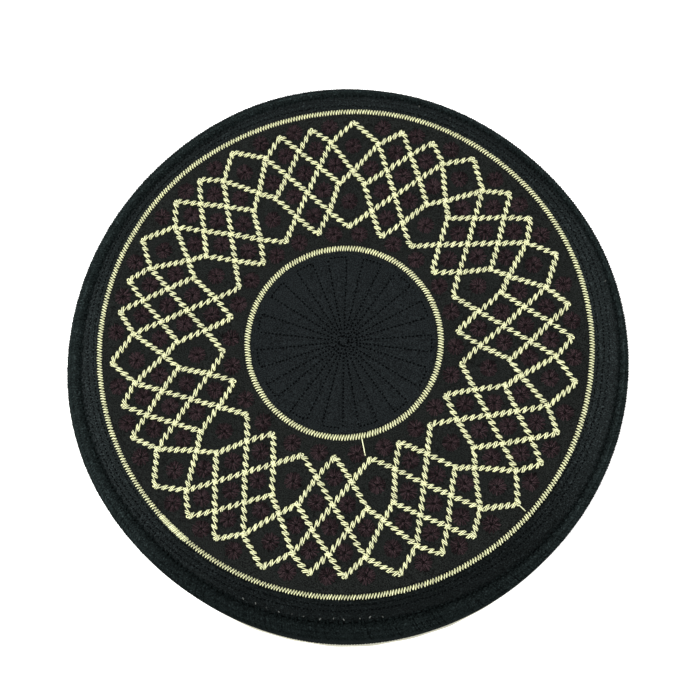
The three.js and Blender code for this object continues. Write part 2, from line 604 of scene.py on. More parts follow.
@dataclass(frozen=True)
class CapShape:
    """The cap's own surfaces, on which every piece and stitch is laid."""

    axis: Pair
    seam_radius: float
    seam_height: float
    hem_height: float
    lining_top: float
    rim_radius: float = 92.6
    hem_radius: float = 95.6
    rim_height: float = 70.6
    belly: float = 0.5
    sag: float = 1.8
    edge_dip: float = 0.9
    edge_width: float = 4.0
    edge_power: int = 3
    gap: float = 0.15
    seam_reach: float = 8.0
    # Radii of the soft rim, hem and seam, every 30 degrees
    rim_rows: tuple[float, ...] = (91.3, 90.3, 91.4, 92.5, 92.0, 92.6, 93.9, 93.4, 93.6, 93.6, 93.0, 92.3)
    hem_rows: tuple[float, ...] = (93.4, 93.0, 93.4, 94.0, 94.6, 96.2, 98.9, 100.7, 99.0, 96.8, 96.1, 94.4)
    seam_rows: tuple[float, ...] = (88.5, 87.6, 88.6, 88.4, 87.6, 87.8, 88.3, 87.4, 88.0, 87.7, 88.7, 88.6)
    # The rolled rim, from the seam to its widest line: distance out, drop below the seam
    roll: tuple[Pair, ...] = (
        (0.0, 3.0), (0.0, 1.3), (0.7, 0.3), (1.7, -0.2), (2.8, 0.2), (3.7, 1.4), (4.2, 2.8), (4.3, 4.4),
    )

    @classmethod
    def from_frame(cls, crest: float = 0.2) -> "CapShape":
        """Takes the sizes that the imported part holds.

        Args:
            crest: How far the rolled rim stands above the seam.

        Returns:
            The shape.
        """
        low, high = (np.array(corner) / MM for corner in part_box("top_panel"))
        band_low, band_high = (np.array(corner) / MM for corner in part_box("side_band"))
        middle = (low + high) / 2
        return cls(
            axis=(float(middle[0]), float(middle[1])),
            seam_radius=float(high[0] - low[0]) / 2,
            seam_height=float(band_high[2]) - crest,
            hem_height=float(band_low[2]),
            lining_top=float(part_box("lining")[1].z / MM),
        )

    def polar(self, place: Array) -> tuple[Array, Array]:
        """Gives the angles and radii of points round the axis."""
        right, ahead = place[:, 0] - self.axis[0], place[:, 1] - self.axis[1]
        return np.arctan2(ahead, right), np.hypot(right, ahead)

    def pull(self, angle: Array, radius: Array, height: Array) -> Array:
        """Tells how far the soft cloth is pulled out of round.

        Args:
            angle: Angles round the axis, in radians.
            radius: Radii before the pull.
            height: Heights above the ground.

        Returns:
            The distance outwards at each point.
        """
        rim = closed_curve(self.rim_rows, angle) - self.rim_radius
        hem = closed_curve(self.hem_rows, angle) - self.hem_radius
        seam = closed_curve(self.seam_rows, angle) - self.seam_radius
        over = np.clip((radius - self.seam_radius) / (self.rim_radius - self.seam_radius), 0, 1)
        near = np.clip(1 + (radius - self.seam_radius) / self.seam_reach, 0, 1)
        drop = (self.rim_height - height) / self.rim_height
        top = seam * near + (rim - seam) * over
        return np.where(height > self.rim_height, top, rim + (hem - rim) * drop)

    def at(self, angle: Array, radius: Array, height: Array) -> Array:
        """Gives points of the pulled cloth.

        Args:
            angle: Angles round the axis, in radians.
            radius: Radii before the pull.
            height: Heights above the ground.

        Returns:
            The points, in the last axis.
        """
        far = radius + self.pull(angle, radius, height)
        flat = (self.axis[0] + far * np.cos(angle), self.axis[1] + far * np.sin(angle), height + 0 * far)
        return np.stack(flat, -1)

    def wall_radius(self, height: Array) -> Array:
        """Gives the outside of the side band before the pull.

        Args:
            height: Heights above the ground.

        Returns:
            The radius at each height.
        """
        drop = (self.rim_height - height) / self.rim_height
        slope = (self.hem_radius - self.rim_radius) * drop
        return self.rim_radius + slope + self.belly * np.sin(np.pi * drop)

    def wall_point(self, angle: Array, height: Array, proud: float = 0.0) -> Array:
        """Gives points on the outside of the side band, or a little off it."""
        return self.at(angle, self.wall_radius(height) + proud, height)

    def roll_point(self, angle: Array, share: Array) -> Array:
        """Gives points on the rolled rim, from the seam, at 0, to its widest line, at 1."""
        out, drop = np.moveaxis(open_curve(self.roll, share), -1, 0)
        return self.at(angle, self.seam_radius + self.gap + out, self.seam_height - drop)

    def roll_normal(self, angle: Array, share: Array, step: float = 0.02) -> Array:
        """Gives the rolled rim's outward direction.

        Args:
            angle: Angles round the axis, in radians.
            share: Places on the roll, from 0 to 1.
            step: Half the stretch of the roll that its slope is taken from.

        Returns:
            The direction at each place.
        """
        before, after = (open_curve(self.roll, share + move) for move in (-step, step))
        out, drop = np.moveaxis(after - before, -1, 0)
        long = np.hypot(out, drop)
        sideways, upwards = drop / long, out / long
        return np.stack((sideways * np.cos(angle), sideways * np.sin(angle), upwards), -1)

    def outwards(self, angle: Array) -> Array:
        """Gives the direction straight out of the wall."""
        return np.stack((np.cos(angle), np.sin(angle), np.zeros_like(angle)), -1)

    def face_point(self, angle: Array, radius: Array) -> Array:
        """Gives points on the top panel's smooth face, by their place round its own middle."""
        plan = np.stack((radius * np.cos(angle), radius * np.sin(angle)), -1) + np.array(self.axis)
        return self.at(angle, radius, self.panel_level(plan[..., 0], plan[..., 1]))

    def panel_level(self, x: Array, y: Array) -> Array:
        """Gives the height of the top panel's smooth face.

        Args:
            x: Places along X.
            y: Places along Y.

        Returns:
            The height at each place.
        """
        radius = np.hypot(x - self.axis[0], y - self.axis[1])
        from_edge = (radius - self.seam_radius + self.edge_width) / self.edge_width
        dip = np.clip(from_edge, 0, 1) ** self.edge_power
        return self.seam_height - self.sag * (1 - (radius / self.seam_radius) ** 2) - self.edge_dip * dip


@dataclass(frozen=True)
class Chart:
    """The embroidery's plan: its middle, its rings, its repeat and the sewn grooves of the panel."""

    shape: CapShape
    offset: Pair = (-0.48, 2.06)
    start: float = 70.6
    repeats: int = 11
    outer_ring: float = 81.05
    inner_ring: float = 31.93
    ring_groove: float = 0.14
    ring_width: float = 1.5
    rays: int = 30
    ray_shift: Pair = (0.45, -0.1)
    ray_length: float = 28.8
    ray_groove: float = 0.16
    ray_width: float = 0.55
    ray_fade: float = 1.2
    ray_full: float = 6.0
    ray_least: float = 0.25
    row_radii: tuple[float, ...] = (82.8, 84.6, 86.3)
    row_groove: float = 0.16
    row_width: float = 0.5
    row_edge: float = 0.9
    swell_rise: float = 0.06
    swell_waves: Pair = (0.21, 0.17)
    swell_starts: Pair = (1.0, 0.4)
    cross_waves: Pair = (0.11, 0.13)
    # The cloth's uneven pull, every 30 degrees: sideways, then outwards at the nearer and the farther radius
    pull_radii: Pair = (48.0, 70.0)
    pull_round: tuple[float, ...] = (0.15, 0.5, 0.35, 0.0, -0.35, -0.5, -0.25, 0.1, 0.35, 0.0, -0.2, -0.15)
    pull_near: tuple[float, ...] = (-0.35, -0.4, -0.25, -0.25, -0.35, -0.35, -0.4, -0.4, -0.1, 0.0, 0.0, -0.2)
    pull_far: tuple[float, ...] = (-0.5, -0.3, 0.1, -0.2, -0.05, -0.05, -0.1, 0.1, 0.55, 0.6, 0.3, -0.1)

    @property
    def middle(self) -> Pair:
        """The embroidery's middle, a little off the panel's."""
        return self.shape.axis[0] + self.offset[0], self.shape.axis[1] + self.offset[1]

    def on_panel(self, radius: Array, angle: Array, shift: Pair = (0.0, 0.0)) -> Array:
        """Gives points of the panel's sewn face.

        Args:
            radius: Radii round the embroidery's middle.
            angle: Angles round it, in radians.
            shift: How far beside that middle they are measured from.

        Returns:
            The points, in the last axis.
        """
        x = self.middle[0] + shift[0] + radius * np.cos(angle)
        y = self.middle[1] + shift[1] + radius * np.sin(angle)
        return np.stack((x, y, self.level(x, y)), -1)

    def repeat_angle(self, repeat: Array, share: Array) -> Array:
        """Gives the angle of a place in a repeat of the lattice, in radians."""
        return math.radians(self.start) + (repeat + share) * TURN / self.repeats

    def stitched(self, repeat: int, share: float, radius: float) -> Array:
        """Gives a place in a repeat, round the embroidery's middle, after the cloth's uneven pull.

        Args:
            repeat: Which repeat.
            share: Share of the repeat, from its start.
            radius: Radius in the chart.

        Returns:
            The place in the plan.
        """
        angle = self.repeat_angle(repeat, share)
        near, far = (closed_curve(rows, angle) for rows in (self.pull_near, self.pull_far))
        first, last = self.pull_radii
        outwards = near + (far - near) * np.clip((radius - first) / (last - first), 0, 1)
        angle = angle + closed_curve(self.pull_round, angle) / radius
        return (radius + outwards) * ray(angle)

    def swell(self, x: Array, y: Array) -> Array:
        """Gives the low waves of the stretched cloth.

        Args:
            x: Places along X.
            y: Places along Y.

        Returns:
            The rise at each place.
        """
        along = np.sin(x * self.swell_waves[0] + self.swell_starts[0])
        away = np.sin(y * self.swell_waves[1] + self.swell_starts[1])
        slanted = np.sin((x + y) * self.cross_waves[0]) * np.sin((x - y) * self.cross_waves[1])
        return self.swell_rise * (along * away + slanted)

    def level(self, x: Array, y: Array) -> Array:
        """Gives the height of the panel's face with its sewn grooves.

        Args:
            x: Places along X.
            y: Places along Y.

        Returns:
            The height at each place.
        """
        right, ahead = x - self.middle[0], y - self.middle[1]
        radius = np.hypot(right, ahead)
        angle = np.arctan2(ahead - self.ray_shift[1], right - self.ray_shift[0])
        sector = TURN / self.rays
        beside = radius * np.abs(np.mod(angle + sector / 2, sector) - sector / 2)
        in_disc = np.clip((self.ray_length + self.ray_fade / 2 - radius) / self.ray_fade, 0, 1)
        depth = in_disc * np.clip(radius / self.ray_full, self.ray_least, 1)
        dips = self.ray_groove * hollow(beside, self.ray_width) * depth
        for row in self.row_radii:
            dips = dips + self.row_groove * hollow(radius - row, self.row_width)
        for ring in (self.outer_ring, self.inner_ring):
            dips = dips + self.ring_groove * hollow(radius - ring, self.ring_width)
        return self.shape.panel_level(x, y) - dips + self.swell(x, y)


# Making meshes


def spun(section: Array, middle: Pair, steps: int, closed: bool) -> bmesh.types.BMesh:
    """Turns a section about an upright axis.

    Args:
        section: Rows of radius and height.
        middle: The axis.
        steps: Steps round.
        closed: Whether the section's last point joins its first.

    Returns:
        The shell, in millimetres, with its normals outwards.
    """
    bm = bmesh.new()
    verts = [bm.verts.new((middle[0] + radius, middle[1], height)) for radius, height in section]
    edges = [bm.edges.new(pair) for pair in zip(verts, verts[1:])]
    if closed:
        edges.append(bm.edges.new((verts[-1], verts[0])))
    bmesh.ops.spin(
        bm, geom=verts + edges, cent=(*middle, 0.0), axis=(0, 0, 1), angle=TURN, steps=steps, use_merge=True
    )
    bmesh.ops.remove_doubles(bm, verts=bm.verts, dist=MERGE)
    bmesh.ops.recalc_face_normals(bm, faces=bm.faces)
    return bm


def places(bm: bmesh.types.BMesh) -> Array:
    """Gives the places of a mesh's vertices."""
    return np.array([vert.co for vert in bm.verts])


def moved(bm: bmesh.types.BMesh, place: Array) -> None:
    """Moves every vertex of a mesh to its new place."""
    for vert, point in zip(bm.verts, place):
        vert.co = point


def shown(name: str, mesh: bpy.types.Mesh) -> bpy.types.Object:
    """Puts a mesh in the scene, smoothly shaded.

    Args:
        name: The object's name.
        mesh: The mesh, in metres.

    Returns:
        The object.
    """
    mesh.polygons.foreach_set("use_smooth", np.ones(len(mesh.polygons), bool))
    piece = bpy.data.objects.new(name, mesh)
    bpy.context.scene.collection.objects.link(piece)
    return piece


def object_of(name: str, bm: bmesh.types.BMesh) -> bpy.types.Object:
    """Turns a mesh in millimetres into an object of the scene.

    Args:
        name: The object's name.
        bm: The mesh, which is used up.

    Returns:
        The object.
    """
    bmesh.ops.scale(bm, vec=(MM,) * 3, verts=bm.verts)
    mesh = bpy.data.meshes.new(name)
    bm.to_mesh(mesh)
    bm.free()
    return shown(name, mesh)


@dataclass(frozen=True)
class Strand:
    """One kind of thread: its section, how high it arches and how deep its ends go."""

    width: float
    depth: float
    arch: float
    sink: float
    taper: float = 0.55
    sides: int = 5
    steps: int = 4
    arch_power: float = 0.7
    taper_power: float = 0.5

    def straw(self) -> bmesh.types.BMesh:
        """Makes a straight piece of thread, one long and one in radius, ringed by its steps.

        Returns:
            The mesh, along Z.
        """
        bm = bmesh.new()
        size = {"radius1": 1, "radius2": 1, "depth": 1}
        bmesh.ops.create_cone(bm, cap_ends=True, cap_tris=False, segments=self.sides, **size)
        along = [edge for edge in bm.edges if abs(edge.verts[0].co.z - edge.verts[1].co.z) > 0.5]
        bmesh.ops.subdivide_edges(bm, edges=along, cuts=self.steps - 1)
        bm.verts.index_update()
        return bm

    def rings(self) -> Array:
        """Gives the rings' places along a stitch, from 0 to 1, closer together at its ends."""
        return 0.5 - 0.5 * np.cos(np.linspace(0, np.pi, self.steps + 1))

    def straight(self, starts: Array, ends: Array) -> Array:
        """Gives the paths of straight stitches, with a point for each ring."""
        return starts[:, None] + (ends - starts)[:, None] * self.rings()[None, :, None]

    def bent(self, unit: Array, paths: Array, ups: Array) -> Array:
        """Bends the straight piece along each path.

        Args:
            unit: The straight piece's points.
            paths: For each stitch, a point on the cloth for each ring.
            ups: For each stitch, the direction off the cloth, or one for each ring.

        Returns:
            The points of each stitch.
        """
        share = unit[:, 2] + 0.5
        ring = np.rint(share * self.steps).astype(int)
        ups = ups if ups.ndim == 3 else np.repeat(ups[:, None], self.steps + 1, 1)
        side = np.cross(ups, np.gradient(paths, axis=1))
        side /= np.linalg.norm(side, axis=-1, keepdims=True)
        plump = np.sin(np.pi * share)
        lift = -self.sink + (self.sink + self.arch) * plump**self.arch_power
        thick = self.taper + (1 - self.taper) * plump**self.taper_power
        across = (self.width / 2 * thick * unit[:, 0])[None, :, None]
        upright = (lift + self.depth / 2 * thick * unit[:, 1])[None, :, None]
        return paths[:, ring] + side[:, ring] * across + ups[:, ring] * upright

    def wrapped(self, bm: bmesh.types.BMesh, unit: Array) -> tuple[Array, Array, Array]:
        """Lists the straight piece's faces, and how a pattern wraps round them.

        Args:
            bm: The straight piece.
            unit: Its points.

        Returns:
            The corners of all faces in a row, how many each face has, and each corner's share of a turn round
            the thread and of its length.
        """
        turns = np.mod(np.arctan2(unit[:, 1], unit[:, 0]) / TURN, 1.0)
        corners, sizes, wraps = [], [], []
        for face in bm.faces:
            spots = [vert.index for vert in face.verts]
            around = turns[spots]
            if around.max() - around.min() > 0.5:
                around = np.where(around < 0.5, around + 1, around)
            corners += spots
            sizes.append(len(spots))
            wraps.append(np.column_stack((around, unit[spots, 2] + 0.5)))
        return np.array(corners), np.array(sizes), np.concatenate(wraps)


@dataclass
class ThreadWork:
    """Collects laid stitches, which become one mesh."""

    seed: int
    points: list[Array] = field(default_factory=list)
    corners: list[Array] = field(default_factory=list)
    sizes: list[Array] = field(default_factory=list)
    wraps: list[Array] = field(default_factory=list)
    shades: list[Array] = field(default_factory=list)
    laid: int = 0

    def __post_init__(self) -> None:
        """Starts the seeded draws."""
        self.draw = np.random.default_rng(self.seed)

    def jitter(self, count: int, reach: float) -> Array:
        """Draws small even differences, up to a reach."""
        return self.draw.uniform(-reach, reach, count)

    def spread(self, count: int, slack: float) -> Array:
        """Draws angles all round, each off its even place by up to a share of the pitch."""
        return (np.arange(count) + self.jitter(count, slack)) * TURN / count

    def lay(self, strand: Strand, paths: Array, ups: Array, shades: Array | None = None) -> None:
        """Lays a strand along each path.

        Args:
            strand: The kind of thread.
            paths: For each stitch, a point on the cloth for each ring of the strand.
            ups: For each stitch, the direction off the cloth, or one for each ring.
            shades: How pale each stitch is, from 0 to 1, or none for a chance one.
        """
        bm = strand.straw()
        unit = places(bm)
        corners, sizes, wraps = strand.wrapped(bm, unit)
        bm.free()
        count = len(paths)
        starts = self.laid + np.arange(count)[:, None] * len(unit)
        long = np.linalg.norm(np.diff(paths, axis=1), axis=-1).sum(1)
        along = np.repeat(wraps[None], count, 0)
        along[..., 1] *= long[:, None]
        shades = self.draw.uniform(0, 1, count) if shades is None else shades
        self.points.append(strand.bent(unit, paths, ups).reshape(-1, 3))
        self.corners.append((corners[None] + starts).ravel())
        self.sizes.append(np.tile(sizes, count))
        self.wraps.append(along.reshape(-1, 2))
        self.shades.append(np.repeat(shades, len(unit)))
        self.laid += count * len(unit)

    def piece(self, name: str) -> bpy.types.Object:
        """Joins what was laid.

        Args:
            name: The piece's name.

        Returns:
            The object.
        """
        mesh = bpy.data.meshes.new(name)
        corners = np.concatenate(self.corners)
        sizes = np.concatenate(self.sizes)
        mesh.vertices.add(self.laid)
        mesh.vertices.foreach_set("co", (np.concatenate(self.points) * MM).ravel())
        mesh.loops.add(len(corners))
        mesh.loops.foreach_set("vertex_index", corners)
        mesh.polygons.add(len(sizes))
        mesh.polygons.foreach_set("loop_start", np.cumsum(sizes) - sizes)
        strand_map = mesh.uv_layers.new(name="strand")
        strand_map.data.foreach_set("uv", np.concatenate(self.wraps).ravel())
        shade = mesh.attributes.new("shade", "FLOAT", "POINT")
        shade.data.foreach_set("value", np.concatenate(self.shades))
        mesh.update(calc_edges=True)
        mesh.validate()
        return shown(name, mesh)


UP = np.array([0.0, 0.0, 1.0])


def ups_for(count: int) -> Array:
    """Gives the upward direction for each of several stitches on the panel."""
    return np.tile(UP, (count, 1))


# Sub-assemblies


@dataclass
class SubAssembly:
    """A part of the cap that is made as one piece and dressed in one finish."""

    chart: Chart
    name: str
    slot: Slot
    finish: TwillFinish | QuiltFinish | CottonFinish | ThreadFinish

    @property
    def shape(self) -> CapShape:
        """The cap's surfaces."""
        return self.chart.shape

    def build(self) -> bpy.types.Object:
        """Makes the piece."""
        raise NotImplementedError

    def dress(self, piece: bpy.types.Object) -> None:
        """Gives the piece its finish, and fixes it to the cap.

        Args:
            piece: The piece.
        """
        known = bpy.data.materials.get(self.finish.name)
        piece.data.materials.append(known or self.finish.material())
        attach(piece, "root")


@dataclass
class TopPanel(SubAssembly):
    """The round top, one disc of cloth that sags a little, with sewn grooves and its edge in the seam."""

    thick: float = 2.0
    steps: int = 240
    field_step: float = 1.5
    margin_start: float = 79.5
    margin_step: float = 0.45
    edge_clear: float = 0.2
    edge_depth: float = 1.5
    back_every: int = 3
    cut: float = 178.0

    def radii(self) -> Array:
        """Gives the rings of the face: close together where the rows of stitching lie.

        Returns:
            The radii, from the middle to the seam.
        """
        seam = self.shape.seam_radius
        field_rings = np.arange(self.field_step, self.margin_start, self.field_step)
        margin_rings = np.arange(self.margin_start, seam - self.edge_clear, self.margin_step)
        return np.concatenate(([0.0], field_rings, margin_rings, [seam]))

    def build(self) -> bpy.types.Object:
        """Makes the disc.

        Returns:
            The object.
        """
        radii = self.radii()
        face = [(radius, 0.0) for radius in radii]
        edge = [(self.shape.seam_radius, -self.edge_depth)]
        back = [(radius, -self.thick) for radius in radii[: -1 : self.back_every]]
        bm = spun(np.array(face + edge + back[::-1]), self.shape.axis, self.steps, closed=False)
        place = places(bm)
        x, y, depth = place.T
        on_face = depth > -self.thick / 2
        level = depth + np.where(on_face, self.chart.level(x, y), self.shape.panel_level(x, y))
        moved(bm, self.shape.at(*self.shape.polar(place), level))
        return object_of(self.name, bm)

    def dress(self, piece: bpy.types.Object) -> None:
        """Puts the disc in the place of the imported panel.

        Args:
            piece: The disc.
        """
        super().dress(piece)
        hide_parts("top_panel")
        width = self.cut * MM
        area = math.pi / 4 * width**2


@dataclass
class SideBand(SubAssembly):
    """The wall, turned over at the top into the rolled rim, and quilted in level rows."""

    thick: float = 2.2
    steps: int = 288
    roll_points: int = 22
    wall_points: int = 96
    inside_points: int = 12
    wall_start: float = 0.7
    first_row: float = 66.0
    row_pitch: float = 6.2
    rows: int = 11
    groove: float = 0.4
    groove_width: float = 0.9
    round_hem: float = 0.8
    inside_fold: float = 2.0
    cut: Pair = (80.0, 595.0)
    # Rounding of the hem: distance in from either face, rise above its lowest line
    hem_turn: tuple[Pair, ...] = ((0.2, 0.25), (0.6, 0.0))
    # The roll's hollow and the edge turned under the panel: distance out from the seam, drop below it
    turned_under: tuple[Pair, ...] = ((1.3, 4.4), (-4.0, 4.8), (-4.0, 3.7), (-0.4, 3.4))

    def row_heights(self) -> Array:
        """Gives the heights of the quilting rows."""
        return self.first_row - self.row_pitch * np.arange(self.rows)

    def section(self) -> Array:
        """Draws the band's section.

        Returns:
            Rows of radius and height, all round the cloth.
        """
        shape = self.shape
        seam = shape.seam_radius + shape.gap
        out, drop = open_curve(shape.roll, np.linspace(0, 1, self.roll_points)).T
        roll = np.stack((seam + out, shape.seam_height - drop), -1)
        top, bottom = shape.rim_height - self.wall_start, shape.hem_height + self.round_hem
        levels = np.linspace(top, bottom, self.wall_points)
        nearest = np.abs(levels[:, None] - self.row_heights()[None]).min(1)
        grooves = self.groove * hollow(nearest, self.groove_width)
        wall = np.stack((shape.wall_radius(levels) - grooves, levels), -1)
        foot = shape.wall_radius(np.array(shape.hem_height))
        hem_back = [(self.thick - inwards, rise) for inwards, rise in self.hem_turn[::-1]]
        hem = [(foot - inwards, shape.hem_height + rise) for inwards, rise in (*self.hem_turn, *hem_back)]
        heights = np.linspace(bottom, shape.rim_height - self.inside_fold, self.inside_points)
        inside = np.stack((shape.wall_radius(heights) - self.thick, heights), -1)
        fold = [(seam + out, shape.seam_height - drop) for out, drop in self.turned_under]
        return np.concatenate((roll, wall, hem, inside, fold))

    def build(self) -> bpy.types.Object:
        """Makes the band.

        Returns:
            The object.
        """
        bm = spun(self.section(), self.shape.axis, self.steps, closed=True)
        place = places(bm)
        moved(bm, self.shape.at(*self.shape.polar(place), place[:, 2]))
        return object_of(self.name, bm)

    def dress(self, piece: bpy.types.Object) -> None:
        """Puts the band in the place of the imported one.

        Args:
            piece: The band.
        """
        super().dress(piece)
        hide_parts("side_band")
        self.cut[0] * MM
        self.cut[1] * MM


@dataclass
class Lining(SubAssembly):
    """The thin cream layer inside the band, with its foot folded out under the hem as a welt."""

    outer_depth: float = 2.5
    thick: float = 1.0
    steps: int = 288
    outside_points: int = 14
    inside_points: int = 24
    foot_levels: Pair = (0.0, 0.6)
    foot_top: float = 1.4
    top_round: float = 0.4
    top_inset: float = 0.25
    pucker: float = 0.12
    puckers: int = 64
    pucker_sway: float = 2.0
    pucker_sways: int = 5
    welt_proud: float = 0.9
    welt_height: float = 1.0
    welt_start: float = 0.2
    wander: float = 0.1
    cut: Pair = (72.0, 585.0)
    # Edge of the welt, from its top to its foot: distance in from its rim, share of its height
    welt_edge: tuple[Pair, ...] = ((0.5, 1.0), (0.15, 0.82), (0.0, 0.5), (0.15, 0.18), (0.5, 0.0))
    # How the welt wanders in and out: waves all round, where they start
    wander_waves: tuple[tuple[int, float], ...] = ((7, 1.0), (17, 2.0), (41, 0.0))

    def section(self) -> Array:
        """Draws the lining's section.

        Returns:
            Rows of radius and height, all round the cloth.
        """
        shape = self.shape
        top = shape.lining_top
        inner = self.outer_depth + self.thick
        heights = np.linspace(top - self.top_round, shape.hem_height, self.outside_points)
        outside = np.stack((shape.wall_radius(heights) - self.outer_depth, heights), -1)
        hem = float(shape.wall_radius(np.array(0.0)))
        far, rise = hem + self.welt_proud, self.welt_height
        welt = [(far - inwards, rise * share) for inwards, share in self.welt_edge]
        climb = np.linspace(self.foot_top, top - self.top_round, self.inside_points)
        levels = np.concatenate((self.foot_levels, climb))
        inside = np.stack((shape.wall_radius(levels) - inner, levels), -1)
        crown = shape.wall_radius(np.array(top))
        fold = [(crown - inner + self.top_inset, top), (crown - self.outer_depth - self.top_inset, top)]
        return np.concatenate((outside, [(hem - self.outer_depth, rise)], welt, inside, fold))

    def build(self) -> bpy.types.Object:
        """Makes the lining.

        Returns:
            The object.
        """
        bm = spun(self.section(), self.shape.axis, self.steps, closed=True)
        place = places(bm)
        level = place[:, 2]
        angle, radius = self.shape.polar(place)
        wall = self.shape.wall_radius(level)
        on_inside = wall - radius > self.outer_depth + self.thick / 2
        on_welt = radius > wall + self.welt_start
        sway = self.pucker_sway * np.sin(angle * self.pucker_sways)
        fade = np.sin(np.pi * level / self.shape.lining_top)
        gathers = self.pucker * np.sin(angle * self.puckers + sway) * fade
        waves = sum(np.sin(angle * count + start) for count, start in self.wander_waves)
        radius = radius + np.where(on_inside, gathers, 0) + np.where(on_welt, self.wander * waves, 0)
        moved(bm, self.shape.at(angle, radius, level))
        return object_of(self.name, bm)

    def dress(self, piece: bpy.types.Object) -> None:
        """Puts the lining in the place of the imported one.

        Args:
            piece: The lining.
        """
        super().dress(piece)
        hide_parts("lining")
        self.cut[0] * MM
        self.cut[1] * MM


@dataclass
class ThreadRing(SubAssembly):
    """A ring of zigzag satin stitch, sewn twice over a stretch and thinned towards one side where asked."""

    radius: float
    bars: int
    half_width: float
    shift: Pair = (0.0, 0.0)
    sway: tuple[float, ...] = (0.0,)
    turn_slack: float = 0.1
    end_slack: float = 0.08
    slant: float = 0.64
    slant_swing: float = 0.18
    slant_swings: int = 3
    slant_start: float = 0.7
    slim_share: float = 0.0
    slim_turn: float = 229.0
    slim_spread: float = 45.0
    doubled: Pair = (0.0, 0.0)
    over_reach: float = 0.15
    over_turns: Pair = (0.5, 0.6)
    seed: int = 1
    bar: Strand = Strand(width=0.38, depth=0.44, arch=0.4, sink=0.12, taper=0.85)
    slim: Strand = Strand(width=0.28, depth=0.38, arch=0.36, sink=0.12, taper=0.85)
    back: Strand = Strand(width=0.18, depth=0.2, arch=0.06, sink=0.2)

    def on_ring(self, radius: Array, angle: Array) -> Array:
        """Gives points of the panel round the ring's own middle, where it sways in and out."""
        return self.chart.on_panel(radius + closed_curve(self.sway, angle), angle, self.shift)

    def is_slim(self, work: ThreadWork, angle: Array) -> Array:
        """Tells which bars are thin: more and more of them towards one side of the ring."""
        chance = self.slim_share * hollow(degrees_past(angle, self.slim_turn), self.slim_spread)
        return work.draw.uniform(0, 1, len(angle)) < chance

    def build(self) -> bpy.types.Object:
        """Makes the ring.

        Returns:
            The object.
        """
        work = ThreadWork(self.seed)
        pitch = TURN / self.bars
        turn = np.arange(self.bars) * pitch + work.jitter(self.bars, pitch * self.turn_slack)
        swing = np.sin(turn * self.slant_swings + self.slant_start)
        foot_turn = turn + (self.slant + self.slant_swing * swing) * pitch
        outer = self.radius + self.half_width + work.jitter(self.bars + 1, self.end_slack)[:-1]
        inner = self.radius - self.half_width + work.jitter(self.bars, self.end_slack)
        heads = self.on_ring(outer, turn)
        feet = self.on_ring(inner, foot_turn)
        ups = ups_for(self.bars)
        work.lay(self.back, self.back.straight(feet, np.roll(heads, -1, 0)), ups)
        slim = self.is_slim(work, turn)
        for strand, some in ((self.bar, ~slim), (self.slim, slim)):
            work.lay(strand, strand.straight(heads[some], feet[some]), ups[some])
        first, last = (math.radians(end) for end in self.doubled)
        again = (turn > first) & (turn < last)
        head_step, foot_step = (share * pitch for share in self.over_turns)
        over_heads = self.on_ring(outer[again] + self.over_reach, turn[again] + head_step)
        over_feet = self.on_ring(inner[again] - self.over_reach, foot_turn[again] + foot_step)
        work.lay(self.bar, self.bar.straight(over_heads, over_feet), ups[again])
        return work.piece(self.name)


# Corners of one repeat of the lattice: share of the repeat, radius
LATTICE_CORNERS: dict[str, Pair] = {
    "apex_large": (0.002, 76.8), "apex_left": (0.343, 75.2), "apex_right": (0.600, 75.4),
    "cross_left": (0.192, 69.8), "cross_middle": (0.480, 68.5), "cross_right": (0.776, 69.7),
    "diamond_large": (-0.019, 59.3), "diamond_left": (0.317, 61.6), "diamond_right": (0.648, 61.0),
    "valley_left": (0.126, 55.1), "centre": (0.488, 53.4), "valley_right": (0.846, 55.1),
    "elbow_left": (0.266, 45.4), "elbow_right": (0.704, 46.2), "foot": (0.001, 39.7), "toe": (0.476, 38.1),
}

# Lines of one repeat, corner by corner; a plus sign means the next repeat's corner
LATTICE_LINES: tuple[tuple[str, ...], ...] = (
    ("apex_large", "cross_left", "diamond_left", "centre", "elbow_right", "foot+"),
    ("apex_left", "cross_middle", "diamond_right", "valley_right"),
    ("apex_right", "cross_right", "diamond_large+", "valley_left+", "elbow_left+", "toe+"),
    ("foot", "elbow_left", "centre", "diamond_right", "cross_right", "apex_large+"),
    ("toe", "elbow_right", "valley_right", "diamond_large+", "cross_left+", "apex_left+"),
    ("valley_left", "diamond_left", "cross_middle", "apex_right"),
)

# Corners at which a line turns back in a small open loop
LATTICE_LOOPS: tuple[str, ...] = ("apex_large", "apex_left", "apex_right", "foot", "toe")


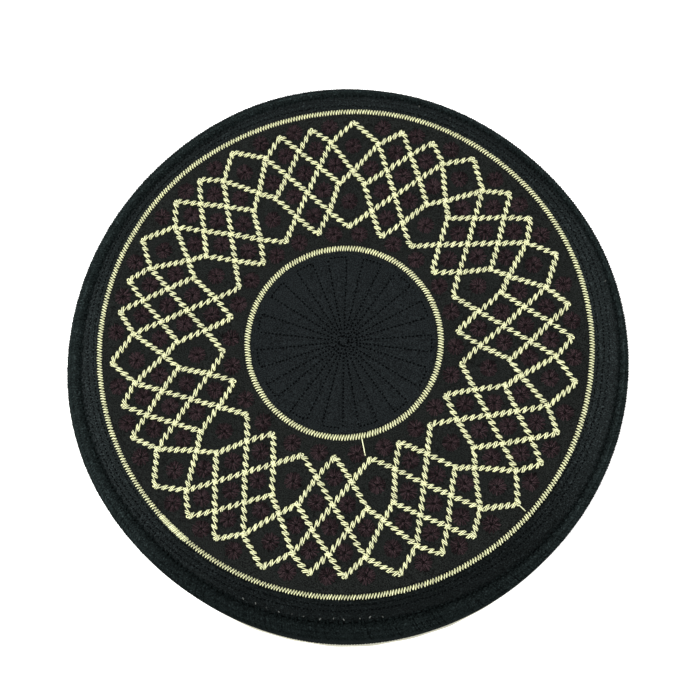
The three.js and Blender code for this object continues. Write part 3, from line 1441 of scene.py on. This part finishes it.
@dataclass
class Lattice(SubAssembly):
    """The gold lattice: slanted double stitches along each line, joined by single threads."""

    pitch: float = 2.3
    least: int = 2
    half_along: float = 0.57
    along_slack: float = 0.12
    half_across: float = 0.91
    across_slack: float = 0.08
    apart: float = 0.28
    apart_slack: float = 0.05
    place_slack: float = 0.07
    layer: float = 0.2
    loop_gap: float = 0.5
    loop_radius: float = 0.38
    loop_slack: float = 0.06
    loop_turn: float = 5.6
    loop_start_slack: float = 3.1
    seed: int = 2
    stroke: Strand = Strand(width=0.36, depth=0.42, arch=0.36, sink=0.06, taper=0.92)
    link: Strand = Strand(width=0.3, depth=0.28, arch=0.12, sink=0.1, taper=0.85)
    loop: Strand = Strand(width=0.4, depth=0.38, arch=0.24, sink=0.1, taper=0.85, steps=9)

    def corner(self, name: str, repeat: int) -> Array:
        """Gives a corner's place in the plan, round the embroidery's middle."""
        share, radius = LATTICE_CORNERS[name.rstrip("+")]
        return self.chart.stitched(repeat, share + name.endswith("+"), radius)

    def stations(self, line: Sequence[str], repeat: int) -> tuple[Array, Array]:
        """Spaces the stitches along a line.

        Args:
            line: The line's corners.
            repeat: Which repeat it starts in.

        Returns:
            The stitches' middles, and the line's heading at each.
        """
        corners = [self.corner(name, repeat) for name in line]
        looped = [name.rstrip("+") in LATTICE_LOOPS for name in line]
        spots, headings = [], []
        for leg, (start, end) in enumerate(zip(corners, corners[1:])):
            run = end - start
            long = math.hypot(*run)
            before, after = (self.loop_gap if loop else 0.0 for loop in looped[leg : leg + 2])
            count = max(self.least, round(long / self.pitch - before - after))
            stops = count + (leg + 2 == len(line))
            shares = (before + np.arange(stops)) / (count + before + after)
            spots.append(start + run * shares[:, None])
            headings.append(np.repeat(run[None] / long, stops, 0))
        return np.concatenate(spots), np.concatenate(headings)

    def lift(self, plan: Array) -> Array:
        """Lays points of the plan on the panel."""
        return self.chart.on_panel(np.hypot(plan[:, 0], plan[:, 1]), np.arctan2(plan[:, 1], plan[:, 0]))

    def lay_line(self, work: ThreadWork, line: Sequence[str], repeat: int, over: float) -> None:
        """Lays one line's double stitches, and the threads that join them.

        Args:
            work: What the stitches are added to.
            line: The line's corners.
            repeat: Which repeat it starts in.
            over: How far the line lies above the panel.
        """
        spots, along = self.stations(line, repeat)
        across = np.stack((-along[:, 1], along[:, 0]), -1)
        count = len(spots)
        spots = spots + work.draw.uniform(-self.place_slack, self.place_slack, spots.shape)
        reach = (self.half_along + work.jitter(count, self.along_slack))[:, None] * along
        reach = reach + (self.half_across + work.jitter(count, self.across_slack))[:, None] * across
        slide = along * (self.apart + work.jitter(count, self.apart_slack))[:, None]
        ups = ups_for(count)
        low, high = spots - reach, spots + reach
        joins = self.link.straight(self.lift(low[:-1]), self.lift(high[1:]))
        work.lay(self.link, joins + UP * over, ups[1:])
        for side in (-slide, slide):
            strokes = self.stroke.straight(self.lift(low + side), self.lift(high + side))
            work.lay(self.stroke, strokes + UP * over, ups)

    def lay_loop(self, work: ThreadWork, middle: Array) -> None:
        """Lays a small open loop in which a line turns back.

        Args:
            work: What the loop is added to.
            middle: The loop's middle in the plan.
        """
        turn = self.loop.rings() * self.loop_turn + work.jitter(1, self.loop_start_slack)
        radius = self.loop_radius + work.jitter(1, self.loop_slack)
        work.lay(self.loop, self.lift(middle + ray(turn) * radius)[None], ups_for(1))

    def build(self) -> bpy.types.Object:
        """Makes the lattice.

        Returns:
            The object.
        """
        work = ThreadWork(self.seed)
        for repeat in range(self.chart.repeats):
            for number, line in enumerate(LATTICE_LINES):
                is_upper = 2 * number >= len(LATTICE_LINES)
                self.lay_line(work, line, repeat, self.layer if is_upper else 0.0)
            for name in LATTICE_LOOPS:
                self.lay_loop(work, self.corner(name, repeat))
        return work.piece(self.name)


# Middles of one repeat's rosettes: share of the repeat, radius
ROSETTE_PLACES: tuple[Pair, ...] = (
    (0.19, 75.4), (0.48, 75.3), (0.765, 75.4),
    (0.0, 68.4), (0.33, 68.0), (0.61, 68.0),
    (0.16, 61.3), (0.48, 60.4), (0.81, 60.8),
    (0.31, 53.3), (0.645, 53.3), (0.0, 48.7),
    (0.485, 45.0), (0.235, 37.4), (0.80, 37.4),
)


@dataclass(frozen=True)
class Round:
    """One round of a rosette: how many stitches, the radii between which they run, and how pale they are."""

    count: int
    reach: Pair
    shade: float
    strand: Strand


@dataclass
class Rosettes(SubAssembly):
    """The dark maroon rosettes: two rounds of satin stitches about a middle eyelet, with near-black stitches
    that paint the shade in that eyelet and in needle holes.
    """

    outer: Round = Round(
        count=27, reach=(1.1, 3.0), shade=0.53,
        strand=Strand(width=0.42, depth=0.34, arch=0.2, sink=0.14, taper=0.6, sides=4, steps=3),
    )
    inner: Round = Round(
        count=12, reach=(0.3, 1.9), shade=0.7,
        strand=Strand(width=0.42, depth=0.34, arch=0.22, sink=0.14, taper=0.7, sides=4, steps=2),
    )
    # Near-black stitches that paint the shade in needle holes and in the middle eyelet.
    holes: int = 7
    hole_reach: Pair = (0.9, 3.3)
    hole_size: float = 0.45
    eyelet_shade_size: float = 1.0
    shade_slack: float = 0.34
    dark_shade: float = 0.0
    place_slack: float = 0.2
    turn_slack: float = 0.35
    start_slack: float = 0.5
    end_slack: float = 0.24
    seed: int = 3
    hole: Strand = Strand(width=0.42, depth=0.3, arch=0.42, sink=0.0, taper=0.7, sides=4, steps=2)
    eyelet_shade: Strand = Strand(width=0.7, depth=0.34, arch=0.5, sink=0.0, taper=0.7, sides=4, steps=2)

    def on_face(self, plan: Array) -> Array:
        """Lays points of the plan on the panel's sewn face."""
        return np.column_stack((plan, self.chart.level(plan[:, 0], plan[:, 1])))

    def lay_round(self, work: ThreadWork, middle: Array, stitches: Round) -> None:
        """Lays one round of stitches.

        Args:
            work: What the stitches are added to.
            middle: The rosette's middle.
            stitches: The round.
        """
        count = stitches.count
        place = np.arange(count) + work.jitter(count, self.turn_slack) + work.jitter(1, self.start_slack)
        ways = ray(place * TURN / count)
        near, far = (
            middle + ways * (radius + work.jitter(count, self.end_slack))[:, None]
            for radius in stitches.reach
        )
        shades = stitches.shade + work.jitter(count, self.shade_slack)
        paths = stitches.strand.straight(self.on_face(near), self.on_face(far))
        work.lay(stitches.strand, paths, ups_for(count), shades)

    def lay_dark(self, work: ThreadWork, strand: Strand, spots: Array, size: float) -> None:
        """Lays short dark stitches, each turned by chance, as painted shade in holes.

        Args:
            work: What the stitches are added to.
            strand: The kind of thread.
            spots: The stitches' middles in the plan.
            size: The stitches' length.
        """
        count = len(spots)
        half = size / 2 * ray(work.jitter(count, math.pi))
        paths = strand.straight(self.on_face(spots - half), self.on_face(spots + half))
        work.lay(strand, paths, ups_for(count), np.full(count, self.dark_shade))

    def build(self) -> bpy.types.Object:
        """Makes all the rosettes.

        Returns:
            The object.
        """
        work = ThreadWork(self.seed)
        chart = self.chart
        for repeat in range(chart.repeats):
            for share, radius in ROSETTE_PLACES:
                middle = np.array(chart.middle) + chart.stitched(repeat, share, radius)
                middle = middle + work.jitter(2, self.place_slack)
                self.lay_round(work, middle, self.outer)
                self.lay_round(work, middle, self.inner)
                # Painted shade in the middle eyelet and in needle holes.
                self.lay_dark(work, self.eyelet_shade, middle[None], self.eyelet_shade_size)
                ways = ray(work.jitter(self.holes, math.pi))
                away = work.draw.uniform(*self.hole_reach, self.holes)[:, None]
                self.lay_dark(work, self.hole, middle + away * ways, self.hole_size)
        return work.piece(self.name)


@dataclass
class CentreRays(SubAssembly):
    """Rays of dark stitching in the middle, sewn back and forth and joined by short arcs in pairs."""

    stitch: float = 0.66
    stitch_slack: float = 0.15
    pitch: float = 1.24
    first_slack: float = 0.4
    along_slack: float = 0.2
    side_slack: float = 0.1
    turn_slack: float = 0.02
    eye: float = 1.4
    shorter: int = 2
    seed: int = 4
    thread: Strand = Strand(width=0.55, depth=0.32, arch=0.1, sink=0.12, taper=0.7, steps=3)

    def on_ray(self, radius: Array, angle: Array) -> Array:
        """Gives points of the panel round the rays' own middle."""
        return self.chart.on_panel(radius, angle, self.chart.ray_shift)

    def lay_ray(self, work: ThreadWork, turn: float, stitches: int) -> None:
        """Lays one ray, from its outer end inwards.

        Args:
            work: What the stitches are added to.
            turn: The ray's angle, in radians.
            stitches: How many stitches it has.
        """
        number = np.arange(stitches) + 1 + work.jitter(1, self.first_slack)
        even = self.chart.ray_length - self.pitch * number
        near = even + work.jitter(stitches, self.along_slack)
        angle = turn + work.jitter(1, self.turn_slack)
        starts = self.on_ray(near, angle + work.jitter(stitches, self.side_slack) / even)
        far = near + (self.stitch + work.jitter(stitches, self.stitch_slack))
        ends = self.on_ray(far, angle + work.jitter(stitches, self.side_slack) / even)
        work.lay(self.thread, self.thread.straight(starts, ends), ups_for(stitches))

    def lay_arc(self, work: ThreadWork, turn: float, sector: float) -> None:
        """Lays the arc that joins the outer ends of two rays.

        Args:
            work: What the stitches are added to.
            turn: The first ray's angle, in radians.
            sector: The angle between the rays.
        """
        long = self.chart.ray_length
        count = round(long * sector / self.pitch)
        angle = turn + np.arange(count) / count * sector
        radius = np.full(count, long)
        starts = self.on_ray(radius, angle)
        ends = self.on_ray(radius, angle + self.stitch / long)
        work.lay(self.thread, self.thread.straight(starts, ends), ups_for(count))

    def build(self) -> bpy.types.Object:
        """Makes the rays.

        Returns:
            The object.
        """
        work = ThreadWork(self.seed)
        most = round((self.chart.ray_length - self.eye) / self.pitch)
        sector = TURN / self.chart.rays
        for number in range(self.chart.rays):
            is_second = number % 2 == 1
            self.lay_ray(work, number * sector, most - self.shorter if is_second else most)
            if not is_second:
                self.lay_arc(work, number * sector, sector)
        return work.piece(self.name)


@dataclass
class MarginRows(SubAssembly):
    """Rows of dark stitching between the outer ring and the seam, where the panel leaves room for them."""

    stitch: float = 0.72
    pitch: float = 1.25
    along_slack: float = 0.22
    side_slack: float = 0.14
    seed: int = 5
    thread: Strand = Strand(width=0.46, depth=0.3, arch=0.1, sink=0.12, taper=0.7, steps=3)

    def build(self) -> bpy.types.Object:
        """Makes the rows.

        Returns:
            The object.
        """
        work = ThreadWork(self.seed)
        chart = self.chart
        room = self.shape.seam_radius - chart.row_edge
        for radius in chart.row_radii:
            count = round(TURN * radius / self.pitch)
            angle = np.arange(count) * TURN / count + work.jitter(count, self.along_slack / radius)
            wander = radius + work.jitter(count, self.side_slack)
            starts = chart.on_panel(wander, angle)
            ends = chart.on_panel(wander, angle + self.stitch / radius)
            inside = self.shape.polar(starts)[1] < room
            laid = self.thread.straight(starts[inside], ends[inside])
            work.lay(self.thread, laid, ups_for(len(laid)))
        return work.piece(self.name)


@dataclass
class SeamStitches(SubAssembly):
    """Dark stitches deep in the seam between the panel and the rolled rim."""

    stitch: float = 1.4
    stitch_slack: float = 0.3
    pitch: float = 1.9
    pitch_slack: float = 0.2
    inwards: float = 0.1
    side_slack: float = 0.15
    seed: int = 12
    thread: Strand = Strand(width=0.7, depth=0.5, arch=0.1, sink=0.3, taper=0.7, steps=3)

    def build(self) -> bpy.types.Object:
        """Makes the stitches.

        Returns:
            The object.
        """
        work = ThreadWork(self.seed)
        shape = self.shape
        count = round(TURN * shape.seam_radius / self.pitch)
        angle = work.spread(count, self.pitch_slack)
        radius = shape.seam_radius - self.inwards + work.jitter(count, self.side_slack)
        over = angle + (self.stitch + work.jitter(count, self.stitch_slack)) / shape.seam_radius
        laid = self.thread.straight(shape.face_point(angle, radius), shape.face_point(over, radius))
        work.lay(self.thread, laid, ups_for(count))
        return work.piece(self.name)


@dataclass
class SeamTicks(SubAssembly):
    """Small pale marks across the seam, many at the front and only here and there elsewhere."""

    count: int = 132
    pitch_slack: float = 0.16
    reach: float = 0.34
    reach_slack: float = 0.15
    lean_slack: float = 0.4
    inwards: float = 1.0
    inwards_slack: float = 0.3
    front: float = 247.0
    front_half: float = 16.0
    elsewhere: float = 0.05
    seed: int = 6
    thread: Strand = Strand(width=0.34, depth=0.28, arch=0.16, sink=0.2, taper=0.6, steps=3)

    def build(self) -> bpy.types.Object:
        """Makes the ticks.

        Returns:
            The object.
        """
        work = ThreadWork(self.seed)
        shape = self.shape
        angle = work.spread(self.count, self.pitch_slack)
        in_front = np.abs(degrees_past(angle, self.front)) < self.front_half
        angle = angle[in_front | (work.draw.uniform(0, 1, self.count) < self.elsewhere)]
        count = len(angle)
        lean = work.jitter(count, self.lean_slack) / shape.seam_radius
        middle = shape.seam_radius - self.inwards + work.jitter(count, self.inwards_slack)
        reach = self.reach + work.jitter(count, self.reach_slack)
        ends = [shape.face_point(angle + side * lean, middle + side * reach) for side in (-1, 1)]
        work.lay(self.thread, self.thread.straight(*ends), ups_for(count))
        return work.piece(self.name)


@dataclass
class RimOvercast(SubAssembly):
    """Oblique dark stitches over the rolled rim, like the lay of a rope, and threads that cross the seam."""

    count: int = 640
    pitch_slack: float = 0.12
    start: float = 0.26
    slant: float = 2.2
    rough: float = 0.06
    shade: float = 0.52
    shade_slack: float = 0.45
    # Painted shade: how much darker the stitches over the rim are at the front.
    front_dim: float = 0.4
    crossings: int = 250
    crossing_pitch_slack: float = 0.35
    crossing_lean_slack: float = 0.5
    crossing_inwards: float = 0.8
    crossing_inwards_slack: float = 0.3
    crossing_share: float = 0.3
    crossing_shade: float = 0.5
    crossing_shade_slack: float = 0.15
    # Painted shade: how much darker the crossing threads are at the front.
    crossing_front_dim: float = 0.5
    seed: int = 7
    thread: Strand = Strand(width=0.56, depth=0.4, arch=0.03, sink=0.16, taper=0.7, steps=5)
    crossing: Strand = Strand(width=0.8, depth=0.4, arch=0.02, sink=0.12, taper=0.75, steps=3)

    def lay_overcast(self, work: ThreadWork) -> None:
        """Lays the stitches over the rim, from the seam to its widest line, with painted shade that darkens
        them at the front.

        Args:
            work: What the stitches are added to.
        """
        angle = work.spread(self.count, self.pitch_slack)
        share = self.start + (1 - self.start) * self.thread.rings()
        lean = (share - self.start)[None] * self.slant / self.shape.rim_radius / (1 - self.start)
        turn = angle[:, None] + lean
        on_roll = np.broadcast_to(share, turn.shape)
        ups = self.shape.roll_normal(turn, on_roll)
        proud = ups * work.jitter(self.count, self.rough)[:, None, None]
        # Painted shade: the stitches over the rim are darker at the front.
        shades = self.shade - self.front_dim * facing(angle) ** 2 + work.jitter(self.count, self.shade_slack)
        work.lay(self.thread, self.shape.roll_point(turn, on_roll) + proud, ups, shades)

    def lay_crossings(self, work: ThreadWork) -> None:
        """Lays the threads that cross the seam, unevenly spaced.

        Args:
            work: What the threads are added to.
        """
        shape = self.shape
        count = self.crossings
        angle = work.spread(count, self.crossing_pitch_slack)
        lean = work.jitter(count, self.crossing_lean_slack) / shape.seam_radius
        radius = shape.seam_radius - self.crossing_inwards + work.jitter(count, self.crossing_inwards_slack)
        near = shape.face_point(angle, radius)
        far = shape.roll_point(angle + lean, np.full(count, self.crossing_share))
        # Painted shade: the crossing threads are darker at the front.
        shades = self.crossing_shade - self.crossing_front_dim * facing(angle)
        shades = shades + work.jitter(count, self.crossing_shade_slack)
        work.lay(self.crossing, self.crossing.straight(near, far), ups_for(count), shades)

    def build(self) -> bpy.types.Object:
        """Makes the stitches.

        Returns:
            The object.
        """
        work = ThreadWork(self.seed)
        self.lay_overcast(work)
        self.lay_crossings(work)
        return work.piece(self.name)


@dataclass
class WallRows(SubAssembly):
    """The quilting stitches of the side band, in level rows."""

    heights: Array
    groove: float
    stitch: float = 2.3
    pitch: float = 3.1
    start_slack: float = 0.5
    level_slack: float = 0.1
    seed: int = 8
    thread: Strand = Strand(width=0.5, depth=0.36, arch=0.12, sink=0.14, taper=0.6, steps=3)

    def build(self) -> bpy.types.Object:
        """Makes the rows.

        Returns:
            The object.
        """
        work = ThreadWork(self.seed)
        shape = self.shape
        count = round(TURN * shape.hem_radius / self.pitch)
        share = self.thread.rings() * self.stitch / shape.hem_radius
        for height in self.heights:
            angle = (np.arange(count) + work.jitter(1, self.start_slack)) * TURN / count
            turn = angle[:, None] + share[None]
            level = height + work.jitter(count, self.level_slack)[:, None] + 0 * turn
            paths = shape.wall_point(turn, level, -self.groove)
            work.lay(self.thread, paths, shape.outwards(turn))
        return work.piece(self.name)


@dataclass
class HemStitches(SubAssembly):
    """Close dark stitches that bind the band's lower edge."""

    count: int = 600
    pitch_slack: float = 0.12
    top: float = 4.0
    slant: float = 0.5
    seed: int = 9
    thread: Strand = Strand(width=0.66, depth=0.44, arch=0.12, sink=0.14, taper=0.6, steps=3)

    def build(self) -> bpy.types.Object:
        """Makes the stitches.

        Returns:
            The object.
        """
        work = ThreadWork(self.seed)
        shape = self.shape
        share = self.thread.rings()[None]
        angle = work.spread(self.count, self.pitch_slack)
        turn = angle[:, None] + share * self.slant / shape.hem_radius
        level = self.top + (shape.hem_height - self.top) * share + 0 * turn
        work.lay(self.thread, shape.wall_point(turn, level), shape.outwards(turn))
        return work.piece(self.name)


@dataclass
class JumpThreads(SubAssembly):
    """Two loose lengths of gold thread, where the needle jumped from one figure to the next."""

    # Each thread's angle, and the radii between which it runs
    runs: tuple[tuple[float, Pair], ...] = ((264.8, (32.6, 38.6)), (299.7, (77.2, 80.2)))
    seed: int = 10
    thread: Strand = Strand(width=0.34, depth=0.3, arch=0.3, sink=0.1, taper=0.7, sides=6, steps=6)

    def build(self) -> bpy.types.Object:
        """Makes the threads.

        Returns:
            The object.
        """
        work = ThreadWork(self.seed)
        for turn, radii in self.runs:
            angle = np.full(1, math.radians(turn))
            start, end = (self.chart.on_panel(np.full(1, radius), angle) for radius in radii)
            work.lay(self.thread, self.thread.straight(start, end), ups_for(1))
        return work.piece(self.name)


# Studio


@dataclass(frozen=True)
class Lamp:
    """A square soft light. Its place and size are in metres."""

    name: str
    place: tuple[float, float, float]
    size: float
    watts: float

    def build(self) -> None:
        """Hangs the lamp, turned to the cap."""
        light = bpy.data.lights.new(self.name, "AREA")
        light.size = self.size
        light.energy = self.watts
        lamp = bpy.data.objects.new(self.name, light)
        lamp.location = self.place
        lamp.rotation_euler = (-Vector(self.place)).to_track_quat("-Z", "Y").to_euler()
        bpy.context.scene.collection.objects.link(lamp)


@dataclass(frozen=True)
class Studio:
    """The floor, the light and the camera."""

    chart: Chart
    eye: tuple[float, float, float] = (-0.09, -82.05, 340.21)
    target: tuple[float, float, float] = (1.54, -3.93, 0.0)
    roll: float = -15.47
    lens: float = 54.96
    sensor: float = 36.0
    # Section of the floor and its backdrop: distance out, height
    floor_section: tuple[Pair, ...] = (
        (0.0, 0.0), (3000.0, 0.0), (3400.0, 60.0), (3700.0, 240.0), (3880.0, 540.0), (3940.0, 940.0),
        (3940.0, 1800.0),
    )
    floor_steps: int = 96
    floor_drop: float = 0.05
    floor_colour: Colour = (0.88, 0.88, 0.87)
    floor_roughness: float = 0.9
    floor_specular: float = 0.1
    floor_glow: float = 0.4
    world_light: float = 0.65
    lamps: tuple[Lamp, ...] = (
        Lamp("key light", place=(-0.45, 0.35, 1.0), size=0.6, watts=9.0),
        Lamp("fill light", place=(0.7, -0.9, 0.6), size=1.0, watts=9.0),
        Lamp("side light", place=(-1.0, 0.15, 0.45), size=0.5, watts=4.5),
    )

    def camera(self) -> None:
        """Sets the camera at the photograph's angle, with its eye and target measured from the embroidery."""
        zero = Vector((*self.chart.middle, self.chart.shape.seam_height))
        eye = (zero + Vector(self.eye)) * MM
        target = (zero + Vector(self.target)) * MM
        ahead = (target - eye).normalized()
        right = ahead.cross(Vector((0, 0, 1))).normalized()
        right.rotate(Matrix.Rotation(-math.radians(self.roll), 3, ahead))
        upright = right.cross(ahead)
        data = bpy.data.cameras.new("camera")
        data.lens = self.lens
        data.sensor_width = self.sensor
        camera = bpy.data.objects.new("camera", data)
        camera.matrix_world = Matrix.Translation(eye) @ Matrix((right, upright, -ahead)).transposed().to_4x4()
        bpy.context.scene.collection.objects.link(camera)
        bpy.context.scene.camera = camera

    def floor(self) -> None:
        """Lays a pale floor just under the cap, which rises into a round backdrop."""
        bm = spun(np.array(self.floor_section), (0.0, 0.0), self.floor_steps, closed=False)
        bmesh.ops.translate(bm, vec=(0, 0, -self.floor_drop), verts=bm.verts)
        floor = object_of("floor", bm)
        paint = {
            "Base Color": (*self.floor_colour, 1.0),
            "Roughness": self.floor_roughness,
            "Specular IOR Level": self.floor_specular,
            "Emission Color": (1.0, 1.0, 1.0, 1.0),
            "Emission Strength": self.floor_glow,
        }
        floor.data.materials.append(Shading("pale floor").finish({}, paint))

    def light(self) -> None:
        """Lights the scene softly from all round, and from the lamps."""
        scene = bpy.context.scene
        scene.world = bpy.data.worlds.new("studio")
        scene.world.use_nodes = True
        background = scene.world.node_tree.nodes["Background"]
        background.inputs["Color"].default_value = (1.0, 1.0, 1.0, 1.0)
        background.inputs["Strength"].default_value = self.world_light
        for lamp in self.lamps:
            lamp.build()
        scene.view_settings.view_transform = "Standard"

    def build(self) -> None:
        """Sets up the studio."""
        self.camera()
        self.floor()
        self.light()


def assemblies(chart: Chart) -> list[SubAssembly]:
    """Lists the cap's sub-assemblies.

    Args:
        chart: The embroidery's plan.

    Returns:
        The sub-assemblies, in the order in which they are made.
    """
    axis = chart.shape.axis
    band = SideBand(chart, "band_cloth", Slot.BAND_CLOTH, QuiltFinish("black quilted cloth", axis))
    return [
        TopPanel(chart, "top_cloth", Slot.TOP_CLOTH, TwillFinish("black twill", chart.middle)),
        band,
        Lining(chart, "lining_cloth", Slot.LINING_CLOTH, CottonFinish("cream cotton", axis)),
        ThreadRing(
            chart, "outer_ring", Slot.GOLD_THREAD, GOLD,
            radius=chart.outer_ring, bars=551, half_width=0.83, shift=(0.0, -0.7), doubled=(207.5, 215.5),
            sway=(-0.2, 0.0, 0.5, -0.25, 0.2, -0.1, -0.2, -0.25, 0.25, 0.45, 0.05, -0.35), slim_share=1.0,
        ),
        ThreadRing(
            chart, "inner_ring", Slot.GOLD_THREAD, GOLD,
            radius=chart.inner_ring, bars=225, half_width=0.95, shift=(0.35, -0.1), seed=11,
        ),
        Lattice(chart, "lattice", Slot.GOLD_THREAD, GOLD),
        JumpThreads(chart, "jump_threads", Slot.GOLD_THREAD, GOLD),
        Rosettes(chart, "rosettes", Slot.MAROON_THREAD, MAROON),
        CentreRays(chart, "centre_rays", Slot.BLACK_THREAD, BLACK),
        MarginRows(chart, "margin_rows", Slot.BLACK_THREAD, QUILTING),
        SeamStitches(chart, "seam_stitches", Slot.BLACK_THREAD, BINDING),
        SeamTicks(chart, "seam_ticks", Slot.LINING_CLOTH, PALE),
        RimOvercast(chart, "rim_overcast", Slot.BLACK_THREAD, BINDING),
        WallRows(chart, "wall_rows", Slot.BLACK_THREAD, BLACK, band.row_heights(), band.groove),
        HemStitches(chart, "hem_stitches", Slot.BLACK_THREAD, BLACK),
    ]


def main() -> None:
    """Builds the cap and its studio."""
    logging.basicConfig(level=logging.INFO, format="%(name)s: %(message)s")
    chart = Chart(CapShape.from_frame())
    for assembly in assemblies(chart):
        piece = assembly.build()
        assembly.dress(piece)
        triangles = sum(len(face.vertices) - 2 for face in piece.data.polygons)
        log.info("%s: %d triangles", piece.name, triangles)
    Studio(chart).build()


if __name__ == "__main__":
    main()
